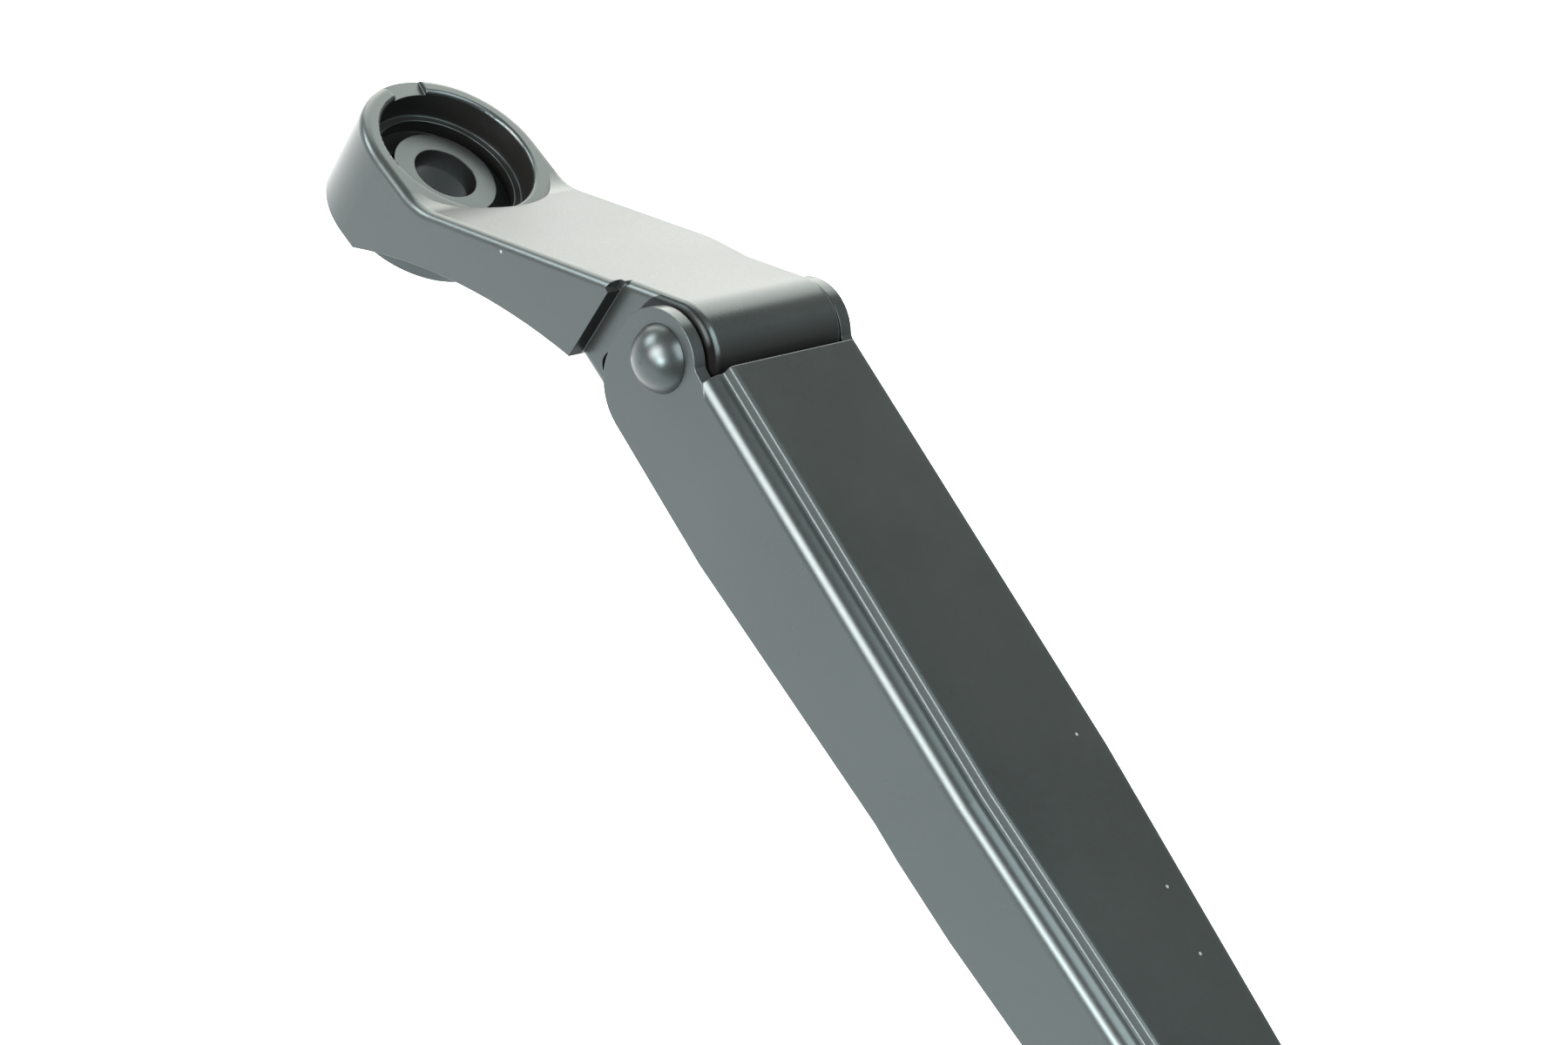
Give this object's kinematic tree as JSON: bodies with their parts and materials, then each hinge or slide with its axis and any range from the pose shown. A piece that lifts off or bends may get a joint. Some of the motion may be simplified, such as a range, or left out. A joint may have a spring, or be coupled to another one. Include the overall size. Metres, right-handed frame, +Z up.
{
  "type": "wiper arm",
  "caption": "Black windscreen wiper arm: cast hub and sloped head, hinged to a pressed channel with a pull spring inside, and a flat bar that ends in a blade hook.",
  "frame": {"origin": "on the spindle axis, at the seat of the nut inside the hub's cup", "axes": "+Z up along the spindle, out of the cup; +X from the hub towards the hinge and the arm; +Y to the left seen from the hub"},
  "size_m": [0.463, 0.0336, 0.0724],
  "materials": {
    "cast_paint": "semi-gloss black paint",
    "sheet_paint": "satin black paint",
    "bar_paint": "satin black paint",
    "rivet_paint": "semi-gloss black paint",
    "bush_plastic": "moulded black",
    "pin_steel": "ground, oiled",
    "link_steel": "stamped, phosphated grey",
    "spring_steel": "drawn wire, phosphated grey"
  },
  "bodies": {
    "head": {"arm_head": "cast_paint", "pivot_bush_left": "bush_plastic", "pivot_bush_right": "bush_plastic", "spring_anchor_pin": "pin_steel"},
    "arm": {"arm_channel": "sheet_paint", "pivot_rivet": "rivet_paint", "arm_bar": "bar_paint", "bar_rivets": "rivet_paint"},
    "link": {"spring_link": "link_steel"},
    "spring": {"tension_spring": "spring_steel"}
  },
  "joints": [
    {"name": "arm_lift", "type": "hinge", "parent": "head", "child": "arm", "pos_m": [0.0515, 0, 0.022], "axis": [0, -1, 0], "range_deg": [0, 68], "deforming": ["tension_spring"]},
    {"name": "link_swing", "type": "hinge", "parent": "head", "child": "link", "pos_m": [0.0453, 0, 0.0132], "axis": [0, -1, 0], "range_deg": [0, 62.8]},
    {"name": "spring_swing", "type": "hinge", "parent": "arm", "child": "spring", "pos_m": [0.15827, 0, 0.00569], "axis": [0, -1, 0], "range_deg": [-5.4, 0]}
  ],
  "couplings": [
    {"joint": "link_swing", "follows": "arm_lift", "ratio": 0.9222},
    {"joint": "spring_swing", "follows": "arm_lift", "ratio": -0.0778}
  ]
}
